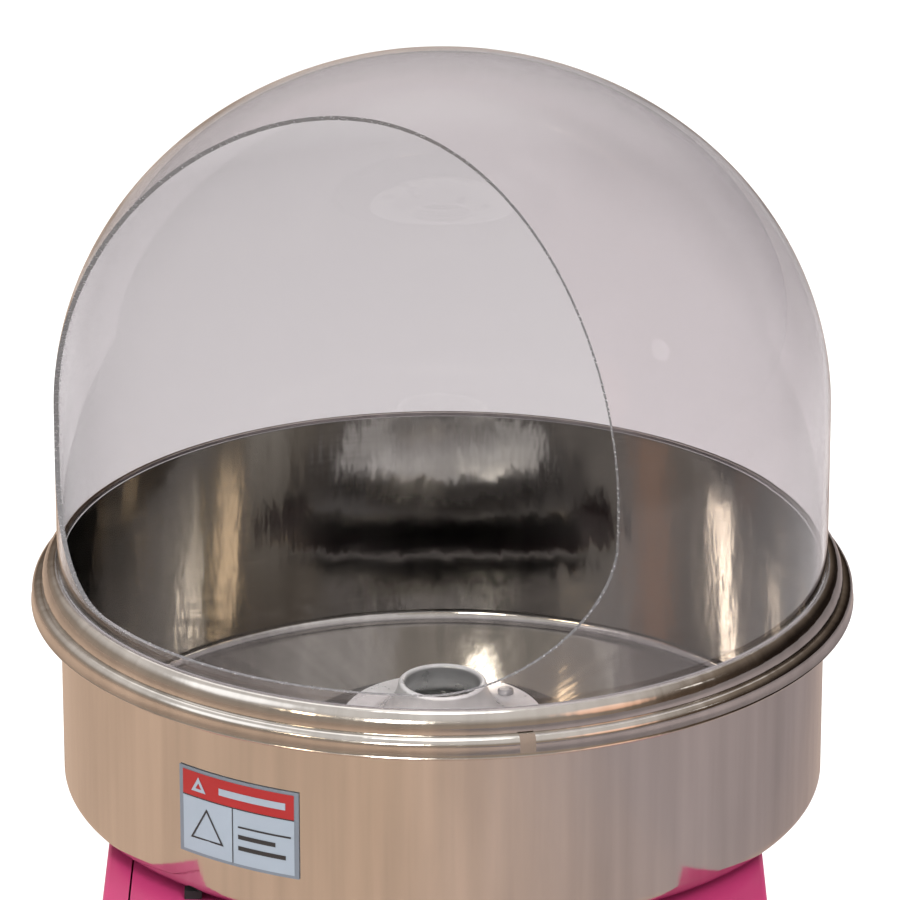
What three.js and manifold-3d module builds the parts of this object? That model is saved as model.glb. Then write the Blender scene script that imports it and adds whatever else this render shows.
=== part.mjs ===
// Commercial cotton candy machine: a cabinet on rubber feet with a spinner motor, a lift-off
// stainless steel bowl with a rolled rim, a heated spinner head, a lift-off bubble dome with a
// side opening, a control panel and a drawer.
// Millimetres. +Z is up, -Y is the operator's side, and the origin is on the bowl's axis at the
// underside of the feet.
import * as THREE from "three";
import { mergeVertices } from "three/addons/utils/BufferGeometryUtils.js";
import Module from "manifold-3d";

const wasm = await Module();
wasm.setup();

// ---------------------------------------------------------------- driving dimensions

const GAP = 0.3; // clearance between pieces that touch
const ROUND = 48; // sides of the big turned parts
const ROUND_MIDDLE = 32; // sides of the head and motor
const ROUND_SMALL = 16; // sides of the small turned parts

const FOOT_HEIGHT = 20;
const SHEET = 2; // cabinet sheet
const BEND = 3; // outer radius of the cabinet's bends
const CABINET_HALF = 200; // half the cabinet's width and depth, without the side cover
const COVER_PROUD = 9; // how far the left side cover stands out
const COVER_FLANGE = 16; // width of the flange it turns over the top
const SEAM_GAP = 1.2; // between that flange and the deck
const DECK_TOP = 344;
const PAD_HEIGHT = 6; // rubber pads between deck and bowl

const BOWL = {
  sheet: 1.6,
  wallRadius: 241.5, // outside of the wall
  holeRadius: 110,
  cornerRadius: 9,
  depth: 123, // from the underside of the floor to the foot of the rim
  lipRadius: 260,
};
// The rim, measured up from the foot of its outer band.
const RIM = {
  seat: 25.2, // ledge that the dome stands on
  seatOuter: 243.5,
  crest: 26.9,
  crestRadius: 245,
  crease: 13.2,
  creaseRadius: 253.2,
  shoulder: 5.5,
  hem: 1.2, // radius of the hemmed edge
};

const DOME = {
  wall: 3,
  radius: 243,
  straight: 102.4, // height of the upright stretch above the seat
  cap: 220.6, // height of the rounded cap
};
// The dome's opening is a flat-bottomed arch cut straight in from one side.
const OPENING = {
  azimuth: 31, // degrees from the operator's side towards -X
  halfWidth: 203,
  sill: 8.8, // above the dome's lower edge
  centre: 108.5, // of the arch's round top, above the dome's lower edge
  corner: 89,
};

const HEAD = {
  crest: 411.5,
  crestRadius: 26,
  crestRound: 2,
  footRadius: 46.5, // where the crater's outside meets the flange
  flangeTop: 388,
  flangeRadius: 64,
  wall: 3,
  bandRadius: 60,
  baseTop: 376,
  baseThickness: 2.7,
  boreTubeRadius: 13,
  screwAngles: [39.9, 219.9],
  screwRadius: 52.9,
};
const DISC = { radius: 94, top: 373, sheet: 1.6, edge: 4 }; // black disc under the head
const SHAFT = { radius: 6, bottom: 164, top: 381 };
const MOTOR = { radius: 46, bottom: 184, top: 283.7, wall: 2, bearing: 14 };
const SLIP_RING = { hubRadius: 16, radius: 20, bottom: 300, width: 6, pitch: 12, hubTop: 328 };

const PANEL = { width: 190, bottom: 210, top: 320, thickness: 2 };
const METER = { x: -57, size: 60, depth: 38 };
const SWITCH = { width: 21, height: 29, xs: [-3, 28] };
const KNOB = { x: 66, radius: 17, height: 18 };
const CONTROL_Z = (PANEL.bottom + PANEL.top) / 2;

const DRAWER = { width: 168, depth: 290, bottom: 52, height: 84, wall: 1.5 };
const DRAWER_FRONT = { width: 188, bottom: 42, height: 106, thickness: 8 };

const LABEL = { azimuth: 31.1, width: 86, top: -36.6, height: 57.4, thickness: 0.5 };
const STICKER = { azimuth: -11.45, width: 9.6, bottom: 3, thickness: 0.4 };

const BOWL_BOTTOM = DECK_TOP + PAD_HEIGHT;
const LIP = BOWL_BOTTOM + BOWL.depth; // foot of the rim's outer band
const SEAT = LIP + RIM.seat;
const FRONT = -CABINET_HALF; // outside of the cabinet's front
const COLLAR_RADIUS = BOWL.holeRadius - 2.5; // collar on the deck that centres the bowl
const COLLAR_TOP = BOWL_BOTTOM + 1;

// ---------------------------------------------------------------- materials

const paint = (color, roughness, metalness = 0) =>
  new THREE.MeshStandardMaterial({ color, roughness, metalness });
const STAINLESS = paint(0xb9b4ae, 0.22, 1);
const PINK = paint(0xb8386a, 0.4, 0.1);
const ACRYLIC = new THREE.MeshStandardMaterial({
  color: 0xd8d2d6,
  roughness: 0.05,
  transparent: true,
  opacity: 0.3,
});
const CAST_ALUMINIUM = paint(0xc9c7c4, 0.3, 1);
const ZINC = paint(0x9a9c9e, 0.45, 1);
const STEEL = paint(0x8a8c8e, 0.35, 1);
const BRASS = paint(0xb08d4a, 0.3, 1);
const RUBBER = paint(0x17171a, 0.85);
const BLACK = paint(0x141416, 0.5);
const BLACK_ENAMEL = paint(0x111113, 0.35, 0.4);
const CARBON = paint(0x2a2a2c, 0.7);
const WHITE = paint(0xe8e6e0, 0.6);
const RED = paint(0xc02020, 0.35);
const CLEAR = new THREE.MeshStandardMaterial({
  color: 0xf2f4f4,
  roughness: 0.05,
  transparent: true,
  opacity: 0.25,
});
const LABEL_GREY = paint(0xa4a8ac, 0.5, 0.2);
const BOARD_GREEN = paint(0x2f5d3a, 0.6);

// ---------------------------------------------------------------- shape helpers

const radians = THREE.MathUtils.degToRad;

// The unit vector that points from the axis towards an azimuth, counted from the operator's
// side towards -X.
const outward = (azimuth) =>
  new THREE.Vector2(-Math.sin(radians(azimuth)), -Math.cos(radians(azimuth)));

// A closed mesh as a manifold solid.
function solid(geometry) {
  const bare = geometry.clone();
  bare.deleteAttribute("normal");
  bare.deleteAttribute("uv");
  const merged = mergeVertices(bare, 1e-4);
  return new wasm.Manifold(
    new wasm.Mesh({
      numProp: 3,
      vertProperties: new Float32Array(merged.attributes.position.array),
      triVerts: new Uint32Array(merged.index.array),
    }),
  );
}

// A manifold solid as a mesh geometry.
function geometryOf(shape) {
  const mesh = shape.getMesh();
  return new THREE.BufferGeometry()
    .setAttribute("position", new THREE.BufferAttribute(mesh.vertProperties, 3))
    .setIndex(new THREE.BufferAttribute(mesh.triVerts, 1));
}

const join = (first, ...others) => others.reduce((whole, part) => whole.add(part), first);
const cut = (first, ...others) => others.reduce((whole, part) => whole.subtract(part), first);

// The points of a section drawn with lines and arcs, without repeats.
function section(draw, divisions = 6) {
  const path = new THREE.Path();
  draw(path);
  const points = path.getPoints(divisions);
  return points.filter((p, i) => i === 0 || p.distanceTo(points[i - 1]) > 1e-3);
}

// A section in (radius, height), listed counter-clockwise, turned round the Z axis.
function turned(points, sides = ROUND_SMALL) {
  const closed = [...points, points[0]];
  return solid(new THREE.LatheGeometry(closed, sides).rotateX(Math.PI / 2));
}

// A plain ring, or a disc where inner is 0.
function ring(inner, outer, bottom, top, sides = ROUND_SMALL) {
  const corners = [
    [inner, bottom],
    [outer, bottom],
    [outer, top],
    [inner, top],
  ];
  if (inner > 0) return turned(corners.map((c) => new THREE.Vector2(...c)), sides);
  return rod(outer, bottom, top, 0, 0, sides);
}

function rod(radius, bottom, top, x = 0, y = 0, sides = ROUND_SMALL) {
  const geometry = new THREE.CylinderGeometry(radius, radius, top - bottom, sides);
  return solid(geometry.rotateX(Math.PI / 2).translate(x, y, (bottom + top) / 2));
}

// A rod along Y, from y0 to y1.
function rodAlongY(radius, y0, y1, x, z, sides = ROUND_SMALL) {
  const geometry = new THREE.CylinderGeometry(radius, radius, y1 - y0, sides);
  return solid(geometry.translate(x, (y0 + y1) / 2, z));
}

// A block given by its lowest and highest corners.
function block(low, high) {
  const size = high.map((value, i) => value - low[i]);
  const middle = high.map((value, i) => (value + low[i]) / 2);
  return solid(new THREE.BoxGeometry(...size).translate(...middle));
}

function extruded(shape, bottom, top, curveSegments = 8) {
  const options = { depth: top - bottom, bevelEnabled: false, curveSegments };
  return solid(new THREE.ExtrudeGeometry(shape, options).translate(0, 0, bottom));
}

// A section in (x, z), listed counter-clockwise, extruded along Y.
function extrudedAlongY(shape, y0, y1, curveSegments = 5) {
  const options = { depth: y1 - y0, bevelEnabled: false, curveSegments };
  return solid(new THREE.ExtrudeGeometry(shape, options).rotateX(Math.PI / 2).translate(0, y1, 0));
}

const machine = new THREE.Group();

function piece(name, shape, material) {
  const mesh = new THREE.Mesh(geometryOf(shape), material);
  mesh.name = name;
  machine.add(mesh);
  return mesh;
}

// ---------------------------------------------------------------- cabinet

const BASE_TOP = FOOT_HEIGHT + SHEET;
const SHELL_BOTTOM = BASE_TOP + GAP;
const COVER_X = -CABINET_HALF - COVER_PROUD;
const DECK_LEFT = COVER_X + COVER_FLANGE + SEAM_GAP;
const PANEL_LEFT = COVER_X + SHEET + GAP;
const PANEL_RIGHT = CABINET_HALF - SHEET - GAP;

const GLAND = { x: -60, z: 78, bore: 9.3, radius: 13 };
const FUSE = { x: -20, bore: 7.3, radius: 9 };
const VENT = { count: 7, width: 110, height: 5, pitch: 14, bottom: 205 };

// Deck and right side bent from one sheet, with a stiffening flange under the deck's left edge.
function makeDeckAndSide() {
  const right = CABINET_HALF;
  const profile = new THREE.Shape();
  profile.moveTo(DECK_LEFT, DECK_TOP - SHEET);
  profile.lineTo(right - BEND, DECK_TOP - SHEET);
  profile.absarc(right - BEND, DECK_TOP - BEND, BEND - SHEET, Math.PI / 2, 0, true);
  profile.lineTo(right - SHEET, SHELL_BOTTOM);
  profile.lineTo(right, SHELL_BOTTOM);
  profile.absarc(right - BEND, DECK_TOP - BEND, BEND, 0, Math.PI / 2, false);
  profile.lineTo(DECK_LEFT, DECK_TOP);
  const shell = extrudedAlongY(profile, -CABINET_HALF, CABINET_HALF);
  const flangeReach = CABINET_HALF - SHEET - 2;
  const flange = block(
    [DECK_LEFT, -flangeReach, DECK_TOP - 14],
    [DECK_LEFT + SHEET, flangeReach, DECK_TOP - SHEET / 2],
  );
  const collar = ring(COLLAR_RADIUS - SHEET, COLLAR_RADIUS, DECK_TOP - 1, COLLAR_TOP, ROUND_MIDDLE);
  const shaftHole = rod(30, DECK_TOP - 10, DECK_TOP + 10, 0, 0, 32);
  piece("cabinet_shell", cut(join(shell, flange, collar), shaftHole), PINK);
}

// The left cover: a bent sheet that stands proud of the body and turns over its top edge.
function makeSideCover() {
  const flangeEnd = COVER_X + COVER_FLANGE;
  const profile = new THREE.Shape();
  profile.moveTo(COVER_X, SHELL_BOTTOM);
  profile.lineTo(COVER_X + SHEET, SHELL_BOTTOM);
  profile.absarc(COVER_X + BEND, DECK_TOP - BEND, BEND - SHEET, Math.PI, Math.PI / 2, true);
  profile.lineTo(flangeEnd, DECK_TOP - SHEET);
  profile.lineTo(flangeEnd, DECK_TOP);
  profile.absarc(COVER_X + BEND, DECK_TOP - BEND, BEND, Math.PI / 2, Math.PI, false);
  piece("side_cover", extrudedAlongY(profile, -CABINET_HALF, CABINET_HALF), PINK);
}

// An upright sheet between the side cover and the right side, from y0 to y1.
function uprightSheet(y0, y1) {
  return block([PANEL_LEFT, y0, SHELL_BOTTOM], [PANEL_RIGHT, y1, PANEL_TOP]);
}

const PANEL_TOP = DECK_TOP - BEND - GAP;

function makeFrontPanel() {
  const cutout = (halfWidth, bottom, top) =>
    block([-halfWidth, FRONT - 5, bottom], [halfWidth, FRONT + 5, top]);
  const controls = cutout(PANEL.width / 2 - 7, PANEL.bottom + 6, PANEL.top - 6);
  const mouthHalf = DRAWER.width / 2 + 3;
  const mouth = cutout(mouthHalf, DRAWER.bottom - 3, DRAWER.bottom + DRAWER.height + 4);
  piece("front_panel", cut(uprightSheet(FRONT, FRONT + SHEET), controls, mouth), PINK);
}

function makeBackPanel() {
  const back = CABINET_HALF;
  const vents = Array.from({ length: VENT.count }, (_, i) => {
    const bottom = VENT.bottom + i * VENT.pitch;
    return block(
      [-VENT.width / 2, back - 5, bottom],
      [VENT.width / 2, back + 5, bottom + VENT.height],
    );
  });
  const glandHole = rodAlongY(GLAND.bore, back - 5, back + 5, GLAND.x, GLAND.z);
  const fuseHole = rodAlongY(FUSE.bore, back - 5, back + 5, FUSE.x, GLAND.z);
  piece("back_panel", cut(uprightSheet(back - SHEET, back), ...vents, glandHole, fuseHole), PINK);
}

function makeBasePlate() {
  const base = block(
    [COVER_X, -CABINET_HALF, FOOT_HEIGHT],
    [CABINET_HALF, CABINET_HALF, BASE_TOP],
  );
  const drains = [-60, 0, 60].map((x) => rod(12, FOOT_HEIGHT - 1, BASE_TOP + 1, x, 130));
  piece("base_plate", cut(base, ...drains), ZINC);
}


function footSection() {
  return section((path) => {
    path.moveTo(4, 0);
    path.lineTo(15, 0);
    path.absarc(15, 2, 2, -Math.PI / 2, 0, false);
    path.lineTo(20, FOOT_HEIGHT - GAP);
    path.lineTo(4, FOOT_HEIGHT - GAP);
  }, 1);
}

const CORNER_SIGNS = [
  ["front_left", -1, -1],
  ["front_right", 1, -1],
  ["rear_left", -1, 1],
  ["rear_right", 1, 1],
];

function makeFeet() {
  const reach = 165;
  for (const [place, sx, sy] of CORNER_SIGNS)
    piece(`foot_${place}`, turned(footSection()), RUBBER).position.set(sx * reach, sy * reach, 0);
}

// Rubber pads on the deck, which the bowl's floor rests on. The front left one sits further out
// and shows past the bowl's edge.
function makeBowlPads() {
  const reach = 150;
  const outer = [-153, -176];
  const half = 5.3;
  for (const [place, sx, sy] of CORNER_SIGNS) {
    const [x, y] = place === "front_left" ? outer : [sx * reach, sy * reach];
    const pad = block([-half, -half, 0], [half, half, PAD_HEIGHT - 2 * GAP]);
    const mesh = piece(`bowl_pad_${place}`, pad, RUBBER);
    mesh.position.set(x, y, DECK_TOP + GAP);
  }
}

// ---------------------------------------------------------------- bowl and dome

// One closed section of sheet: floor, wall, dome seat, rolled bead, shoulder, band and hem.
function bowlSection() {
  const sheet = BOWL.sheet;
  const outer = BOWL.wallRadius;
  const inner = outer - sheet;
  const corner = BOWL.cornerRadius;
  const beadWidth = RIM.creaseRadius - RIM.crestRadius;
  const beadHeight = RIM.crest - RIM.crease;
  const band = BOWL.lipRadius - RIM.hem / 2;
  const shoulderRadius = band - RIM.shoulder;
  const shoulderLevel = LIP + RIM.crease - RIM.shoulder;
  return section((path) => {
    path.moveTo(BOWL.holeRadius, BOWL_BOTTOM);
    path.lineTo(outer - corner, BOWL_BOTTOM);
    path.absarc(outer - corner, BOWL_BOTTOM + corner, corner, -Math.PI / 2, 0, false);
    path.lineTo(outer, SEAT - sheet);
    path.lineTo(RIM.crestRadius - 0.4, SEAT - sheet);
    path.lineTo(RIM.crestRadius, LIP + RIM.crest - sheet);
    path.absellipse(
      RIM.crestRadius, LIP + RIM.crease, beadWidth - sheet, beadHeight - sheet, Math.PI / 2, 0, true,
    );
    path.lineTo(shoulderRadius, LIP + RIM.crease - sheet);
    path.absarc(shoulderRadius, shoulderLevel, RIM.shoulder - sheet, Math.PI / 2, 0, true);
    path.lineTo(band - sheet, LIP + RIM.hem);
    path.absarc(band - RIM.hem / 2, LIP + RIM.hem, RIM.hem, Math.PI, 2 * Math.PI, false);
    path.lineTo(band, LIP + 2 * RIM.hem);
    path.absarc(shoulderRadius, shoulderLevel, RIM.shoulder, 0, Math.PI / 2, false);
    path.absellipse(
      RIM.crestRadius, LIP + RIM.crease, beadWidth, beadHeight, 0, Math.PI / 2, false,
    );
    path.lineTo(RIM.seatOuter + 0.4, LIP + RIM.crest - 0.4);
    path.lineTo(RIM.seatOuter, SEAT);
    path.lineTo(inner, SEAT);
    path.absarc(
      outer - corner, BOWL_BOTTOM + corner, corner - sheet, 0, -Math.PI / 2, true,
    );
    path.lineTo(BOWL.holeRadius, BOWL_BOTTOM + sheet);
  }, 2);
}

function domeSection() {
  const bottom = SEAT + GAP;
  const shoulder = bottom + DOME.straight;
  const inner = DOME.radius - DOME.wall;
  return section((path) => {
    path.moveTo(DOME.radius, bottom);
    path.lineTo(DOME.radius, shoulder);
    path.absellipse(0, shoulder, DOME.radius, DOME.cap, 0, Math.PI / 2, false);
    path.absellipse(0, shoulder, inner, DOME.cap - DOME.wall, Math.PI / 2, 0, true);
    path.lineTo(inner, bottom);
  }, 6);
}

// The arch-shaped cutter, reaching from the axis out through the dome's side.
function openingCutter() {
  const bottom = SEAT + GAP;
  const sill = bottom + OPENING.sill;
  const centre = bottom + OPENING.centre;
  const corner = OPENING.corner;
  const half = OPENING.halfWidth;
  const arch = new THREE.Shape();
  arch.absarc(half - corner, sill + corner, corner, -Math.PI / 2, 0, false);
  arch.absarc(0, centre, half, 0, Math.PI, false);
  arch.absarc(corner - half, sill + corner, corner, Math.PI, 1.5 * Math.PI, false);
  const options = { depth: BOWL.lipRadius, bevelEnabled: false, curveSegments: 12 };
  const cutter = new THREE.ExtrudeGeometry(arch, options).rotateX(Math.PI / 2);
  return solid(cutter.rotateZ(-radians(OPENING.azimuth)));
}

function makeBowlAndDome() {
  piece("bowl", turned(bowlSection(), ROUND), STAINLESS);
  piece("dome", cut(turned(domeSection(), ROUND), openingCutter()), ACRYLIC);
}

// A thin patch bent round the axis.
function curvedPatch(radius, azimuth, width, bottom, height, thickness) {
  const half = width / radius / 2;
  const middle = outward(azimuth).angle();
  const patch = new THREE.Shape();
  patch.absarc(0, 0, radius + thickness, middle - half, middle + half, false);
  patch.absarc(0, 0, radius, middle + half, middle - half, true);
  return extruded(patch, bottom, bottom + height, 12);
}

// The sticker's section follows the rim's outer band and shoulder.
function stickerSection() {
  const band = BOWL.lipRadius - RIM.hem / 2;
  const level = LIP + RIM.crease - RIM.shoulder;
  const near = RIM.shoulder + GAP;
  const far = near + STICKER.thickness;
  const centre = band - RIM.shoulder;
  return section((path) => {
    path.moveTo(centre + near, LIP + STICKER.bottom);
    path.lineTo(centre + far, LIP + STICKER.bottom);
    path.absarc(centre, level, far, 0, Math.PI / 2.4, false);
    path.absarc(centre, level, near, Math.PI / 2.4, 0, true);
  }, 4);
}

function makeLabels() {
  const wall = BOWL.wallRadius + GAP;
  const bottom = LIP + LABEL.top - LABEL.height;
  piece(
    "notice_label",
    curvedPatch(wall, LABEL.azimuth, LABEL.width, bottom, LABEL.height, LABEL.thickness),
    LABEL_GREY,
  );
  const slab = new THREE.BoxGeometry(STICKER.width, 40, 40)
    .translate(0, -BOWL.lipRadius, LIP)
    .rotateZ(-radians(STICKER.azimuth));
  piece("rim_sticker", turned(stickerSection(), ROUND).intersect(solid(slab)), WHITE);
}

// ---------------------------------------------------------------- spinner head

function capSection() {
  const round = HEAD.crestRound;
  const crestLevel = HEAD.crest - round;
  const bottom = HEAD.flangeTop - HEAD.wall;
  const mouth = HEAD.crestRadius - round;
  return section((path) => {
    path.moveTo(HEAD.footRadius - HEAD.wall, bottom);
    path.lineTo(HEAD.flangeRadius, bottom);
    path.lineTo(HEAD.flangeRadius, HEAD.flangeTop);
    path.lineTo(HEAD.footRadius, HEAD.flangeTop);
    path.quadraticCurveTo(
      HEAD.crestRadius + 5, HEAD.flangeTop + 6, HEAD.crestRadius + round, crestLevel,
    );
    path.absarc(HEAD.crestRadius, crestLevel, round, 0, Math.PI, false);
    path.quadraticCurveTo(
      mouth + 2, bottom + 6, HEAD.footRadius - HEAD.wall, bottom,
    );
  }, 3);
}

const SCREW_SEAT = HEAD.flangeTop + GAP;
const SCREW = { shank: 2.2, head: 5.2, headHeight: 3 };

const aroundAxis = (radius, angle) => [
  radius * Math.cos(radians(angle)),
  radius * Math.sin(radians(angle)),
];

function makeHeadCap() {
  const holes = HEAD.screwAngles.map((angle) => {
    const [x, y] = aroundAxis(HEAD.screwRadius, angle);
    return rod(SCREW.shank + GAP, HEAD.baseTop, HEAD.crest, x, y, 12);
  });
  piece("head_cap", cut(turned(capSection(), ROUND_MIDDLE), ...holes), CAST_ALUMINIUM);
}

function makeHeadScrews() {
  HEAD.screwAngles.forEach((angle, i) => {
    const [x, y] = aroundAxis(HEAD.screwRadius, angle);
    const top = SCREW_SEAT + SCREW.headHeight;
    const slot = block([x - 6, y - 0.6, top - 1.2], [x + 6, y + 0.6, top + 1]);
    const screw = join(
      rod(SCREW.head, SCREW_SEAT, top, x, y, 20),
      rod(SCREW.shank, HEAD.baseTop + GAP, SCREW_SEAT + 1, x, y, 12),
    );
    piece(`head_screw_${i + 1}`, cut(screw, slot), ZINC);
  });
}

// A flat disc with its edge turned down, on the hub's tube.
function makeHeadDisc() {
  const { radius, top, sheet, edge } = DISC;
  const bore = HEAD.boreTubeRadius + GAP;
  const disc = section((path) => {
    path.moveTo(bore, top - sheet);
    path.lineTo(radius - sheet, top - sheet);
    path.lineTo(radius - sheet, top - edge);
    path.lineTo(radius, top - edge);
    path.lineTo(radius, top);
    path.lineTo(bore, top);
  });
  piece("head_disc", turned(disc, ROUND_MIDDLE), BLACK_ENAMEL);
}

function makeHead() {
  makeHeadCap();
  makeHeadScrews();
  const baseBottom = HEAD.baseTop - HEAD.baseThickness;
  const bore = SHAFT.radius + GAP;
  const tube = ring(bore, HEAD.boreTubeRadius, DECK_TOP - 12, baseBottom + 1);
  const plate = ring(bore, HEAD.bandRadius, baseBottom, HEAD.baseTop, ROUND_MIDDLE);
  piece("head_base", join(plate, tube), CAST_ALUMINIUM);
  makeScreenBand();
  const heaterRod = 3;
  const heater = new THREE.TorusGeometry(40, heaterRod, 6, 32);
  piece("heater_ring", solid(heater.translate(0, 0, HEAD.baseTop + heaterRod + 1)), STEEL);
  makeHeadDisc();
}

// The slotted band that the melted sugar is thrown through.
function makeScreenBand() {
  const bottom = HEAD.baseTop + GAP;
  const top = HEAD.flangeTop - HEAD.wall - GAP;
  const slotCount = 16;
  const slots = Array.from({ length: slotCount }, (_, i) => {
    const slot = new THREE.BoxGeometry(10, 2, top - bottom - 3)
      .translate(HEAD.bandRadius - 1, 0, (bottom + top) / 2)
      .rotateZ((i / slotCount) * 2 * Math.PI);
    return solid(slot);
  });
  const band = ring(HEAD.bandRadius - 2, HEAD.bandRadius, bottom, top, ROUND_MIDDLE);
  piece("screen_band", cut(band, ...slots), STAINLESS);
}

// ---------------------------------------------------------------- motor and slip rings

function makeMotor() {
  const { radius, bottom, top, wall, bearing } = MOTOR;
  const capTop = bottom + 6;
  const bossDepth = 9;
  const can = section((path) => {
    path.moveTo(radius - wall, capTop + GAP);
    path.lineTo(radius, capTop + GAP);
    path.lineTo(radius, top);
    path.lineTo(bearing + GAP, top);
    path.lineTo(bearing + GAP, top - bossDepth);
    path.lineTo(bearing + 4, top - bossDepth);
    path.lineTo(bearing + 4, top - 3);
    path.lineTo(radius - wall, top - 3);
  });
  piece("motor_can", turned(can, ROUND_MIDDLE), ZINC);
  const cap = section((path) => {
    path.moveTo(bearing + GAP, bottom);
    path.lineTo(radius, bottom);
    path.lineTo(radius, capTop);
    path.lineTo(bearing + 4, capTop);
    path.lineTo(bearing + 4, bottom + bossDepth);
    path.lineTo(bearing + GAP, bottom + bossDepth);
  });
  piece("motor_end_cap", turned(cap, ROUND_MIDDLE), ZINC);
  piece("motor_stator", ring(31, radius - wall - GAP, capTop + 12, top - 22, ROUND_MIDDLE), STEEL);
  piece("motor_rotor", ring(SHAFT.radius + GAP, 29, capTop + 14, top - 24, ROUND_MIDDLE), STEEL);
  const race = (low) => ring(SHAFT.radius + GAP, bearing, low, low + bossDepth - 1);
  piece("bearing_upper", race(top - bossDepth), STEEL);
  piece("bearing_lower", race(bottom + 0.5), STEEL);
  piece("drive_shaft", ring(0, SHAFT.radius, SHAFT.bottom, SHAFT.top), STEEL);
  makeFan();
  makeMotorBracket();
}

function makeFan() {
  const top = MOTOR.bottom - 3;
  const bottom = top - 13;
  const bladeCount = 8;
  const blades = Array.from({ length: bladeCount }, (_, i) => {
    const blade = new THREE.BoxGeometry(28, 1.6, 13)
      .rotateX(radians(30))
      .translate(24, 0, (top + bottom) / 2)
      .rotateZ((i / bladeCount) * 2 * Math.PI);
    return solid(blade);
  });
  const hub = ring(SHAFT.radius + GAP, 12, bottom - 1, top + 1);
  piece("cooling_fan", join(hub, ...blades), BLACK);
}

function makeMotorBracket() {
  const bottom = MOTOR.top + GAP;
  const plate = block([-62, -62, bottom], [62, 62, bottom + 3]);
  const posts = CORNER_SIGNS.map(([, sx, sy]) =>
    rod(5, bottom + 1, DECK_TOP - SHEET - GAP, sx * 52, sy * 52, 16),
  );
  const opening = rod(24, bottom - 5, bottom + 10);
  piece("motor_bracket", cut(join(plate, ...posts), opening), ZINC);
}

function makeSlipRings() {
  const { hubRadius, radius, bottom, width, pitch, hubTop } = SLIP_RING;
  const grooves = [0, 1].map((i) => {
    const low = bottom + 5 + i * pitch;
    return ring(hubRadius - 1, hubRadius + 5, low - GAP, low + width + GAP, 32);
  });
  const hub = ring(SHAFT.radius + GAP, hubRadius, bottom, hubTop, 32);
  piece("slip_ring_hub", cut(hub, ...grooves), BLACK);
  ["lower", "upper"].forEach((place, i) => {
    const low = bottom + 5 + i * pitch;
    piece(`slip_ring_${place}`, ring(hubRadius - 1 + GAP, radius, low, low + width, 32), BRASS);
    const brushLow = low + 1;
    const brush = block([radius + GAP, -3, brushLow], [radius + 16, 3, brushLow + 4]);
    piece(`brush_${place}`, brush, CARBON);
  });
  const holderLow = MOTOR.top + GAP + 3 + GAP;
  const holder = block([radius + 4, -9, holderLow], [radius + 22, 9, hubTop]);
  const wells = [0, 1].map((i) => {
    const low = bottom + 6 + i * pitch;
    return block([radius - 1, -3 - GAP, low - GAP], [radius + 16 + GAP, 3 + GAP, low + 4 + GAP]);
  });
  piece("brush_holder", cut(holder, ...wells), BLACK);
}

// ---------------------------------------------------------------- control panel

const PANEL_FACE = FRONT - GAP - PANEL.thickness; // outside of the panel plate

function makePanelPlate() {
  const plate = block(
    [-PANEL.width / 2, PANEL_FACE, PANEL.bottom],
    [PANEL.width / 2, FRONT - GAP, PANEL.top],
  );
  const through = (x, halfWidth, halfHeight) =>
    block(
      [x - halfWidth, PANEL_FACE - 5, CONTROL_Z - halfHeight],
      [x + halfWidth, FRONT + 5, CONTROL_Z + halfHeight],
    );
  const meterHole = rodAlongY(METER.size / 2 - 5, PANEL_FACE - 5, FRONT + 5, METER.x, CONTROL_Z, 32);
  const switchHoles = SWITCH.xs.map((x) =>
    through(x, SWITCH.width / 2 - 1.2, SWITCH.height / 2 - 1.2),
  );
  const knobHole = rodAlongY(4.3, PANEL_FACE - 5, FRONT + 5, KNOB.x, CONTROL_Z);
  piece("control_panel", cut(plate, meterHole, ...switchHoles, knobHole), STAINLESS);
}

// A square analogue meter: case with bezel, dial, needle and window.
function makeVoltmeter() {
  const { x, size, depth } = METER;
  const back = PANEL_FACE - GAP;
  const face = back - 9;
  const half = size / 2;
  const barrel = rodAlongY(half - 5 - GAP, back - 2, back + depth, x, CONTROL_Z, 32);
  const bezel = block([x - half, face, CONTROL_Z - half], [x + half, back, CONTROL_Z + half]);
  const well = block(
    [x - half + 3, face - 1, CONTROL_Z - half + 14],
    [x + half - 3, back - 1.5, CONTROL_Z + half - 3],
  );
  piece("voltmeter_case", cut(join(barrel, bezel), well), BLACK);
  const inset = 3 + GAP;
  const lowZ = CONTROL_Z - half + 14 + GAP;
  const highZ = CONTROL_Z + half - inset;
  const dialBack = back - 1.5 - GAP;
  const dial = block([x - half + inset, dialBack - 1, lowZ], [x + half - inset, dialBack, highZ]);
  const pivotZ = lowZ + 5;
  const pivotBore = rodAlongY(1.8, dialBack - 3, dialBack + 3, x, pivotZ, 12);
  piece("voltmeter_dial", cut(dial, pivotBore), WHITE);
  const lens = block([x - half + inset, face + 0.4, lowZ], [x + half - inset, face + 1.9, highZ]);
  piece("voltmeter_lens", lens, CLEAR);
  const needleFront = dialBack - 3;
  const pointer = new THREE.BoxGeometry(0.9, 1, 28)
    .translate(0, 0, 12)
    .rotateY(radians(-NEEDLE_REST))
    .translate(x, needleFront + 0.5, pivotZ);
  const hub = rodAlongY(3, needleFront, needleFront + 1.5, x, pivotZ, 16);
  const arbor = rodAlongY(1.4, needleFront + 0.5, dialBack, x, pivotZ, 12);
  piece("voltmeter_needle", join(solid(pointer), hub, arbor), BLACK);
}

const NEEDLE_REST = 42; // degrees left of upright at zero volts
const ROCKER_TILT = 11; // degrees either side of level

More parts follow.
